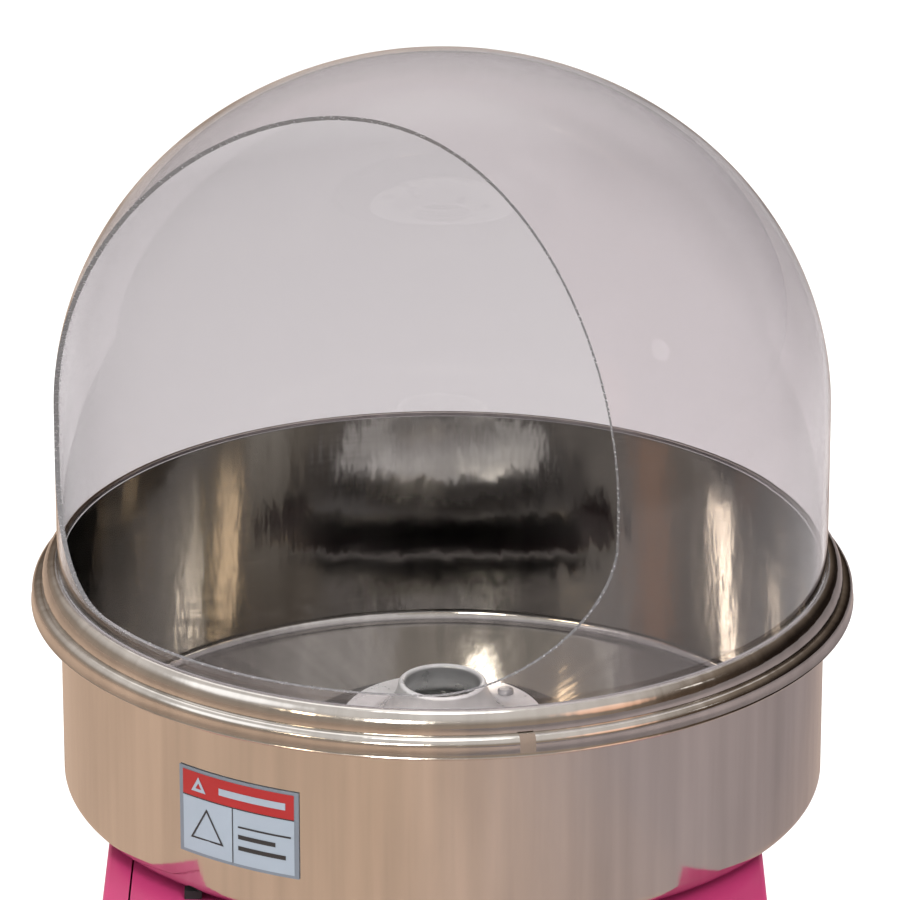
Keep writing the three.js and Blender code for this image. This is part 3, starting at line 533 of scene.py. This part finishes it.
def opening_cutter():
    """A cutter with sides square to the wall, closed by a point inside and one far outside."""
    out = Vector((-math.sin(OPENING_AZIMUTH), -math.cos(OPENING_AZIMUTH), 0))
    points = [on_dome(*p) for p in opening_outline()]
    bm = bmesh.new()
    inner = [bm.verts.new(point - normal * CUT_REACH) for point, normal in points]
    outer = [bm.verts.new(point + normal * CUT_REACH) for point, normal in points]
    inside = bm.verts.new((0, 0, OPENING_CENTRE))
    outside = bm.verts.new(out * CUT_FAR + Vector((0, 0, OPENING_CENTRE)))
    for i in range(len(points)):
        j = (i + 1) % len(points)
        bm.faces.new((inner[i], inner[j], outer[j], outer[i]))
        bm.faces.new((inner[j], inner[i], inside))
        bm.faces.new((outer[i], outer[j], outside))
    bmesh.ops.recalc_face_normals(bm, faces=bm.faces)
    mesh = bpy.data.meshes.new("opening_cutter")
    bm.to_mesh(mesh)
    bm.free()
    mesh.materials.append(M["acrylic_edge"])
    cutter = bpy.data.objects.new("opening_cutter", mesh)
    bpy.context.scene.collection.objects.link(cutter)
    return cutter


def make_dome():
    mesh = lathe_mesh("bubble_dome", dome_profile(), SEGMENTS)
    mesh.materials.append(M["acrylic"])
    rough = bpy.data.objects.new("dome_blank", mesh)
    bpy.context.scene.collection.objects.link(rough)
    cutter = opening_cutter()
    boolean = rough.modifiers.new("opening", "BOOLEAN")
    boolean.operation = "DIFFERENCE"
    boolean.solver = "EXACT"
    boolean.material_mode = "TRANSFER"
    boolean.object = cutter
    bpy.context.view_layer.update()
    evaluated = rough.evaluated_get(bpy.context.evaluated_depsgraph_get())
    cut = bpy.data.meshes.new_from_object(evaluated)
    bpy.data.objects.remove(rough)
    bpy.data.objects.remove(cutter)
    smooth(cut)
    dome = add_object("bubble_dome", cut, None, "dome")
    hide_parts("dome")


# ---------------------------------------------------------------- label and sticker

LABEL_AZIMUTH = math.radians(31.1)
LABEL_WIDTH = 0.086
LABEL_FACE = WALL_RADIUS + 0.0009  # just clear of the film itself
LABEL_LAYER = 0.0001  # each printed layer lies this far over the last
LABEL_LOW, LABEL_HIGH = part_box("notice_label")


def label_patch(bm, slot, u0, u1, v0, v1, layer, columns=16):
    """A curved rectangle of the label: u and v go from 0 to 1 over its width and height."""
    radius = LABEL_FACE + layer * LABEL_LAYER
    height = LABEL_HIGH.z - LABEL_LOW.z
    rows = []
    for v in (v0, v1):
        row = []
        for i in range(columns + 1):
            u = u0 + (u1 - u0) * i / columns
            angle = LABEL_AZIMUTH + (0.5 - u) * LABEL_WIDTH / WALL_RADIUS
            x, y = -math.sin(angle) * radius, -math.cos(angle) * radius
            row.append(bm.verts.new((x, y, LABEL_LOW.z + v * height)))
        rows.append(row)
    for i in range(columns):
        face = bm.faces.new((rows[0][i], rows[0][i + 1], rows[1][i + 1], rows[1][i]))
        face.material_index = slot


def label_triangle(bm, slot, cu, cv, size, line, layer):
    """An upright outlined triangle, as three bent strips."""
    radius = LABEL_FACE + layer * LABEL_LAYER
    height = LABEL_HIGH.z - LABEL_LOW.z

    def corner(scale, k):
        a = math.radians(90 + 120 * k)
        return cu * LABEL_WIDTH + size * scale * math.cos(a), cv * height + size * scale * math.sin(a)

    def vertex(point):
        angle = LABEL_AZIMUTH + 0.5 * LABEL_WIDTH / WALL_RADIUS - point[0] / WALL_RADIUS
        x, y = -math.sin(angle) * radius, -math.cos(angle) * radius
        return bm.verts.new((x, y, LABEL_LOW.z + point[1]))

    for k in range(3):
        ends = [corner(1, k), corner(1, k + 1), corner(1 - line, k + 1), corner(1 - line, k)]
        bm.faces.new([vertex(p) for p in ends]).material_index = slot


def make_label():
    bm = bmesh.new()
    border, split, header = 0.035, 0.47, 0.68
    label_patch(bm, 0, 0, 1, 0, 1, 0)
    label_patch(bm, 1, border, 1 - border, border, 1 - border, 1)
    label_patch(bm, 2, border, 1 - border, header, 1 - border, 2)
    label_patch(bm, 3, border, 1 - border, header - 0.012, header, 3)
    label_patch(bm, 3, split, split + 0.008, border, header, 3, 1)
    for v, u1, thick in ((0.46, 0.94, 0.02), (0.33, 0.82, 0.05), (0.2, 0.9, 0.05)):
        label_patch(bm, 3, split + 0.05, u1, v, v + thick, 3)
    label_patch(bm, 1, 0.36, 0.9, 0.78, 0.86, 4)
    label_triangle(bm, 3, 0.25, 0.32, 0.0145, 0.16, 4)
    label_triangle(bm, 1, 0.18, 0.8, 0.0065, 0.6, 4)
    mesh = bpy.data.meshes.new("notice_print")
    bm.to_mesh(mesh)
    bm.free()
    for name in ("film_grey", "film_light", "film_red", "ink"):
        mesh.materials.append(M[name])
    add_object("notice_print", mesh, None, "bowl")


# ---------------------------------------------------------------- spinner head

CAP_WALL = 0.003
CAP_FOOT = 0.0465  # where the crater's outside meets the flange
CAP_ROUND = 0.0022  # of the crater's crest
EDGE = 0.0006  # broken edge of the flange
DISC_BORE = 0.0133
DISC_ROUND = 0.001

SCREW_SHANK = 0.0022  # radius
SCREW_HEAD = 0.003  # height
SCREW_SIDE = 0.0013  # upright part of the head
SCREW_ROUND = 0.0016
SCREW_SLOT_HALF = 0.0006
SCREW_SLOT_DEPTH = 0.0012


def make_head():
    foot, crest_r, roundness = CAP_FOOT, CRATER_RADIUS, CAP_ROUND
    bottom, top, crest = CAP_LOW.z, CAP_LOW.z + CAP_WALL, CAP_HIGH.z
    level = crest - roundness
    outside = bezier((foot, top), (crest_r + 0.005, top + 0.006), (crest_r + roundness, level))
    inside = bezier((crest_r - roundness, level), (crest_r, bottom + 0.006), (foot - CAP_WALL, bottom))
    profile = [
        (foot - CAP_WALL, bottom),
        (CAP_HIGH.x - EDGE, bottom),
        (CAP_HIGH.x, bottom + EDGE),
        (CAP_HIGH.x, top - EDGE),
        (CAP_HIGH.x - EDGE, top),
        *outside,
        *arc(crest_r, level, roundness, roundness, 0, 180, 12),
        *inside,
    ]
    cap = lathe("turned_head_cap", profile, "aluminium", "spinner")
    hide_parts("head_cap")
    r, hi, lo = DISC_HIGH.x, DISC_HIGH.z, DISC_LOW.z
    disc = [
        (DISC_BORE, hi - SHEET),
        (r - SHEET, hi - SHEET),
        (r - SHEET, lo),
        (r, lo),
        *arc(r - DISC_ROUND, hi - DISC_ROUND, DISC_ROUND, DISC_ROUND, 0, 90, 4),
        (DISC_BORE, hi),
    ]
    plate = lathe("enamelled_disc", disc, "enamel", "spinner")
    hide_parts("head_disc")
    for i in (1, 2):
        make_screw(f"head_screw_{i}")


def bezier(start, control, end, count=14):
    out = []
    for i in range(count + 1):
        t = i / count
        a, b, c = (1 - t) ** 2, 2 * t * (1 - t), t * t
        out.append((a * start[0] + b * control[0] + c * end[0], a * start[1] + b * control[1] + c * end[1]))
    return out


def make_screw(node):
    """A pan-head slotted screw in place of a CAD one."""
    low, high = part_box(node)
    centre = (low + high) / 2
    radius = (high.x - low.x) / 2
    head = high.z - SCREW_HEAD
    side = head + SCREW_SIDE
    profile = [
        (0, low.z),
        (SCREW_SHANK, low.z),
        (SCREW_SHANK, head),
        (radius, head),
        (radius, side),
        *arc(radius - SCREW_ROUND, side, SCREW_ROUND, SCREW_HEAD - SCREW_SIDE, 0, 90, 6),
        (0, high.z),
    ]
    mesh = lathe_mesh(node + "_turned", profile, SEGMENTS_SMALL)
    bm = bmesh.new()
    bm.from_mesh(mesh)
    for y in (-SCREW_SLOT_HALF, SCREW_SLOT_HALF):
        plane = Vector((0, y, 0))
        geometry = list(bm.verts) + list(bm.edges) + list(bm.faces)
        bmesh.ops.bisect_plane(bm, geom=geometry, plane_co=plane, plane_no=(0, 1, 0))
    for vert in bm.verts:
        if abs(vert.co.y) < SCREW_SLOT_HALF * 0.99 and vert.co.z > head + SCREW_SLOT_DEPTH:
            vert.co.z -= SCREW_SLOT_DEPTH
    bmesh.ops.translate(bm, verts=bm.verts, vec=(centre.x, centre.y, 0))
    bm.to_mesh(mesh)
    bm.free()
    smooth(mesh, 30)
    screw = add_object(node + "_turned", mesh, "zinc", "spinner")
    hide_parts(node)


# ---------------------------------------------------------------- cabinet, panel and drawer


def bevelled(node, width=0.0008):
    """Rounds a CAD node's sharp edges without touching its mesh."""
    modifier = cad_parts[node].modifiers.new("edges", "BEVEL")
    modifier.width = width
    modifier.segments = 3
    modifier.limit_method = "ANGLE"
    modifier.angle_limit = math.radians(40)
    modifier.harden_normals = False


def paint(node, material):
    """Puts one material in every slot of a CAD node."""
    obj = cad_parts[node]
    if not obj.data.materials:
        obj.data.materials.append(M[material])
    for held in obj.material_slots:
        held.link = "OBJECT"
        held.material = M[material]


NODE_LOOKS = {
    "pink": ("cabinet_shell", "side_cover", "front_panel", "back_panel", "drawer_front"),
    "zinc": (
        "base_plate", "motor_bracket", "motor_can", "motor_end_cap", "drawer_runner_left",
        "drawer_runner_right", "heat_control",
    ),
    "rubber": tuple(
        f"{kind}_{place}"
        for kind in ("foot", "bowl_pad")
        for place in ("front_left", "front_right", "rear_left", "rear_right")
    ),
    "sheet": ("screen_band", "control_panel", "drawer_box"),
    "aluminium": ("head_base",),
    "steel": (
        "heater_ring", "motor_stator", "motor_rotor", "bearing_upper", "bearing_lower", "drive_shaft",
    ),
    "brass": ("slip_ring_lower", "slip_ring_upper"),
    "carbon": ("brush_lower", "brush_upper"),
    "black": (
        "slip_ring_hub", "brush_holder", "cooling_fan", "voltmeter_case", "voltmeter_needle",
        "motor_switch_body", "motor_rocker", "heater_switch_body", "heat_knob", "cord_gland",
        "fuse_holder", "fuse_cap",
    ),
    "red": ("heater_rocker",),
    "white": ("voltmeter_dial", "terminal_block"),
    "sticker": ("rim_sticker",),
    "window": ("voltmeter_lens",),
    "board": ("heat_regulator",),
    "film_grey": ("notice_label",),
}

BEVELLED = {
    "drawer_front": 0.0025,
    "control_panel": 0.0006,
    "voltmeter_case": 0.0012,
    "motor_switch_body": 0.0006,
    "heater_switch_body": 0.0006,
    "motor_rocker": 0.0005,
    "heater_rocker": 0.0005,
    "front_panel": 0.0004,
    "back_panel": 0.0004,
}


def dress_cad_nodes():
    for material, nodes in NODE_LOOKS.items():
        for node in nodes:
            paint(node, material)
    for node, width in BEVELLED.items():
        bevelled(node, width)


def make_handle():
    """A bow handle with round bends in place of the CAD one."""
    low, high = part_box("drawer_handle")
    radius = (high.z - low.z) / 2
    z = (low.z + high.z) / 2
    left, right, front, back = low.x + radius, high.x - radius, low.y + radius, high.y
    bend = 0.012
    right_bend = arc(right - bend, front + bend, bend, bend, 0, -90, 10)
    left_bend = arc(left + bend, front + bend, bend, bend, 270, 180, 10)
    path = [(right, back), *right_bend, *left_bend, (left, back)]
    points = [(x, y, z) for x, y in path]
    handle = tube("bow_handle", points, radius * 0.98, "sheet", "drawer")
    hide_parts("drawer_handle")


FOOT_BORE = 0.004
FOOT_TREAD = 0.0145  # radius of the flat that stands on the floor, before its rounded edge
FOOT_ROUND = 0.002


def make_feet():
    """Tapered rubber feet with a groove under the collar."""
    for place in ("front_left", "front_right", "rear_left", "rear_right"):
        node = f"foot_{place}"
        low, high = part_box(node)
        profile = [
            (FOOT_BORE, low.z),
            (FOOT_TREAD, low.z),
            *arc(FOOT_TREAD, low.z + FOOT_ROUND, FOOT_ROUND, FOOT_ROUND, -90, 0, 6),
            (0.0185, high.z - 0.005),
            (0.0176, high.z - 0.0045),
            (0.0188, high.z - 0.004),
            (0.0199, high.z - 0.0006),
            (0.0194, high.z),
            (FOOT_BORE, high.z),
        ]
        foot = lathe(f"rubber_{node}", profile, "rubber", "cabinet", SEGMENTS_SMALL)
        centre = (low + high) / 2
        for vertex in foot.data.vertices:
            vertex.co += Vector((centre.x, centre.y, 0))
        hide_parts(node)


DIAL_PIVOT = 0.0047  # height of the needle's pivot over the dial's lower edge
DIAL_HALF_SWEEP = 42  # degrees either side of upright
DIAL_TICKS = 13
TICK_TOP = 0.0315
TICK_LONG = (0.0285, 0.0004)  # inner radius and half width
TICK_SHORT = (0.0298, 0.0002)
INK_LIFT = 0.00005


def make_dial_marks():
    """Tick marks on an arc, printed on the meter's dial."""
    low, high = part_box("voltmeter_dial")
    pivot = Vector(((low.x + high.x) / 2, low.y, low.z + DIAL_PIVOT))
    lift = Vector((0, -INK_LIFT, 0))
    bm = bmesh.new()
    for i in range(DIAL_TICKS):
        angle = math.radians(DIAL_HALF_SWEEP * (2 * i / (DIAL_TICKS - 1) - 1))
        inner, half = TICK_LONG if i % 3 == 0 else TICK_SHORT
        along = Vector((math.sin(angle), 0, math.cos(angle)))
        side = Vector((math.cos(angle), 0, -math.sin(angle))) * half
        foot, tip = along * inner, along * TICK_TOP
        corners = [foot - side, foot + side, tip + side, tip - side]
        bm.faces.new([bm.verts.new(pivot + lift + c) for c in corners])
    mesh = bpy.data.meshes.new("dial_marks")
    bm.to_mesh(mesh)
    bm.free()
    add_object("dial_marks", mesh, "ink", "cabinet")


def panel_screws():
    """Raised screw heads at the control panel's corners."""
    low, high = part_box("control_panel")
    inset, radius, rise = 0.007, 0.003, 0.0012
    bm = bmesh.new()
    for x in (low.x + inset, high.x - inset):
        for z in (low.z + inset, high.z - inset):
            made = bmesh.ops.create_uvsphere(bm, u_segments=24, v_segments=12, radius=radius)["verts"]
            for vert in made:
                across, up = vert.co.x, vert.co.z
                vert.co = Vector((x + across, low.y + vert.co.y * rise / radius, z + up))
    mesh = bpy.data.meshes.new("panel_screws")
    bm.to_mesh(mesh)
    bm.free()
    smooth(mesh)
    add_object("panel_screws", mesh, "zinc", "cabinet")


# ---------------------------------------------------------------- stage, light and camera


def mirrored_only(tree):
    """1 for a ray that a surface mirrors, and 0 for one that it lets through or that the camera sends."""
    path = tree.nodes.new("ShaderNodeLightPath")
    only = tree.nodes.new("ShaderNodeMath")
    only.operation = "SUBTRACT"
    only.use_clamp = True
    tree.links.new(path.outputs["Is Glossy Ray"], only.inputs[0])
    tree.links.new(path.outputs["Is Transmission Ray"], only.inputs[1])
    return only.outputs[0]


def stage_material(name, seen, mirrored_left, mirrored_right):
    """Pale to the camera, and a warm counter that cools to the right where the steel mirrors it."""
    shader = Shader(name, seen, 0.9)
    split = shader.node("ShaderNodeSeparateXYZ")
    shader.link(shader.position(), split.inputs[0])
    across = shader.between(split.outputs[0], 0, 1, -0.3, 0.9)
    counter = shader.node("ShaderNodeMix", data_type="RGBA")
    counter.inputs[6].default_value = (*mirrored_left, 1)
    counter.inputs[7].default_value = (*mirrored_right, 1)
    shader.link(across, counter.inputs["Factor"])
    shader.blend_color(mirrored_only(shader.tree), seen, mirrored_left)
    choice = shader.bsdf.inputs["Base Color"].links[0].from_node
    shader.link(counter.outputs[2], choice.inputs[7])
    return shader.material


def make_floor():
    bm = bmesh.new()
    bmesh.ops.create_grid(bm, x_segments=1, y_segments=1, size=FLOOR_HALF)
    bmesh.ops.translate(bm, verts=bm.verts, vec=(0, 0, FLOOR_Z))
    mesh = bpy.data.meshes.new("floor")
    bm.to_mesh(mesh)
    bm.free()
    floor = bpy.data.objects.new("floor", mesh)
    bpy.context.scene.collection.objects.link(floor)
    mesh.materials.append(stage_material("pale_floor", *FLOOR_COLORS))


FLOOR_HALF = 30
FLOOR_COLORS = ((0.93, 0.93, 0.93), (0.42, 0.3, 0.22), (0.24, 0.2, 0.2))

# Lights that only mirrored rays see, as azimuth from -Y towards +X, elevation, half angle,
# strength and colour. The concave wall shows a light at +X on its left.
WINDOWS = (
    (-13, 23, 5, 20.0, (1, 0.93, 0.82)),
    (-40, 22, 3.5, 9.0, (1, 0.78, 0.52)),
    (48, 24, 10, 0.8, (1, 0.5, 0.3)),
    (78, 26, 2.5, 1.6, (1, 0.97, 0.93)),
    (-70, 40, 14, 0.9, (0.95, 0.97, 1)),
    (180, 60, 20, 1.0, (1, 1, 1)),
    (0, 85, 8, 3.0, (1, 1, 1)),
)


def world_ramp(tree, value, stops):
    made = tree.nodes.new("ShaderNodeValToRGB")
    ramp = made.color_ramp
    ramp.elements[0].position, ramp.elements[0].color = stops[0][0], (*stops[0][1], 1)
    ramp.elements[1].position, ramp.elements[1].color = stops[-1][0], (*stops[-1][1], 1)
    for position, color in stops[1:-1]:
        ramp.elements.new(position).color = (*color, 1)
    tree.links.new(value, made.inputs[0])
    return made.outputs[0]


def world_window(tree, direction, azimuth, elevation, half, strength, color):
    """A soft round patch of light in the mirrored room."""
    a, e = math.radians(azimuth), math.radians(elevation)
    towards = tree.nodes.new("ShaderNodeVectorMath")
    towards.operation = "DOT_PRODUCT"
    tree.links.new(direction, towards.inputs[0])
    towards.inputs[1].default_value = (math.sin(a) * math.cos(e), -math.cos(a) * math.cos(e), math.sin(e))
    edge = tree.nodes.new("ShaderNodeMapRange")
    edge.interpolation_type = "SMOOTHSTEP"
    edge.inputs["From Min"].default_value = math.cos(math.radians(half * 1.5))
    edge.inputs["From Max"].default_value = math.cos(math.radians(half * 0.6))
    tree.links.new(towards.outputs["Value"], edge.inputs["Value"])
    glow = tree.nodes.new("ShaderNodeMix")
    glow.data_type = "RGBA"
    glow.inputs[6].default_value = (0, 0, 0, 1)
    glow.inputs[7].default_value = (*(channel * strength for channel in color), 1)
    tree.links.new(edge.outputs[0], glow.inputs["Factor"])
    return glow.outputs[2]


def add_colors(tree, first, second, blend="ADD"):
    made = tree.nodes.new("ShaderNodeMix")
    made.data_type = "RGBA"
    made.blend_type = blend
    made.inputs["Factor"].default_value = 1
    tree.links.new(first, made.inputs[6])
    tree.links.new(second, made.inputs[7])
    return made.outputs[2]


def make_world():
    """White to the camera; to the steel a dim room, darkest behind on the right, with soft windows."""
    world = bpy.data.worlds.new("studio")
    bpy.context.scene.world = world
    world.use_nodes = True
    tree = world.node_tree
    direction = tree.nodes.new("ShaderNodeTexCoord").outputs["Generated"]
    split = tree.nodes.new("ShaderNodeSeparateXYZ")
    tree.links.new(direction, split.inputs[0])
    half_unit = tree.nodes.new("ShaderNodeMapRange")
    half_unit.inputs["From Min"].default_value = -1
    tree.links.new(split.outputs[2], half_unit.inputs["Value"])
    up = world_ramp(tree, half_unit.outputs[0], (
        (0.0, (0.4, 0.34, 0.28)), (0.5, (0.42, 0.34, 0.28)), (0.62, (0.36, 0.31, 0.27)),
        (0.8, (0.8, 0.78, 0.77)), (1.0, (0.85, 0.84, 0.84)),
    ))
    diagonal = tree.nodes.new("ShaderNodeVectorMath")
    diagonal.operation = "DOT_PRODUCT"
    tree.links.new(direction, diagonal.inputs[0])
    diagonal.inputs[1].default_value = (0.72, 0.6, -0.35)
    shaded = tree.nodes.new("ShaderNodeMapRange")
    shaded.inputs["From Min"].default_value = -1
    tree.links.new(diagonal.outputs["Value"], shaded.inputs["Value"])
    side = world_ramp(tree, shaded.outputs[0], (
        (0.0, (1.1, 1.08, 1.05)), (0.5, (0.9, 0.85, 0.8)),
        (0.68, (0.3, 0.24, 0.19)), (0.9, (0.03, 0.02, 0.015)),
    ))
    room = add_colors(tree, up, side, "MULTIPLY")
    for window in WINDOWS:
        room = add_colors(tree, room, world_window(tree, direction, *window))
    mirrored = tree.nodes.new("ShaderNodeBackground")
    tree.links.new(room, mirrored.inputs["Color"])
    seen = tree.nodes["Background"]
    seen.inputs["Color"].default_value = (1, 1, 1, 1)
    mix = tree.nodes.new("ShaderNodeMixShader")
    tree.links.new(mirrored_only(tree), mix.inputs[0])
    tree.links.new(seen.outputs[0], mix.inputs[1])
    tree.links.new(mirrored.outputs[0], mix.inputs[2])
    tree.links.new(mix.outputs[0], tree.nodes["World Output"].inputs["Surface"])


def area_light(name, place, target, size, power, color=(1, 1, 1)):
    data = bpy.data.lights.new(name, "AREA")
    data.shape = "RECTANGLE"
    data.size, data.size_y = size
    data.energy = power
    data.color = color
    lamp = bpy.data.objects.new(name, data)
    lamp.location = place
    lamp.rotation_euler = (Vector(target) - Vector(place)).to_track_quat("-Z", "Y").to_euler()
    lamp.visible_glossy = False
    lamp.visible_transmission = False
    bpy.context.scene.collection.objects.link(lamp)


def make_lights():
    middle = (0, 0, SEAT)
    area_light("key_window", (0.5, -1.9, 2.0), middle, (0.5, 1.2), 30)
    area_light("overhead", (-0.3, 0.2, 2.6), middle, (1.2, 1.2), 22)
    area_light("left_window", (-2.2, -0.5, 1.6), middle, (0.4, 1.0), 16)
    area_light("right_fill", (2.2, -0.9, 1.1), middle, (0.8, 1.2), 12, (1, 0.97, 0.94))
    area_light("rear_strip", (0.9, 2.0, 1.5), middle, (0.4, 0.8), 10)


def make_camera():
    data = bpy.data.cameras.new("camera")
    data.lens = CAMERA_LENS
    data.sensor_width = 36
    data.clip_end = 60
    camera = bpy.data.objects.new("camera", data)
    back = Vector((0, -math.cos(CAMERA_ELEVATION), math.sin(CAMERA_ELEVATION)))
    camera.location = AIM + back * CAMERA_DISTANCE
    camera.rotation_euler = (-back).to_track_quat("-Z", "Y").to_euler()
    bpy.context.scene.collection.objects.link(camera)
    bpy.context.scene.camera = camera


# ---------------------------------------------------------------- assembly

make_camera()
make_bowl()
make_dome()
make_label()
make_head()
dress_cad_nodes()
make_handle()
make_feet()
make_dial_marks()
panel_screws()
make_floor()
make_world()
make_lights()
bpy.context.scene.view_settings.view_transform = "Standard"
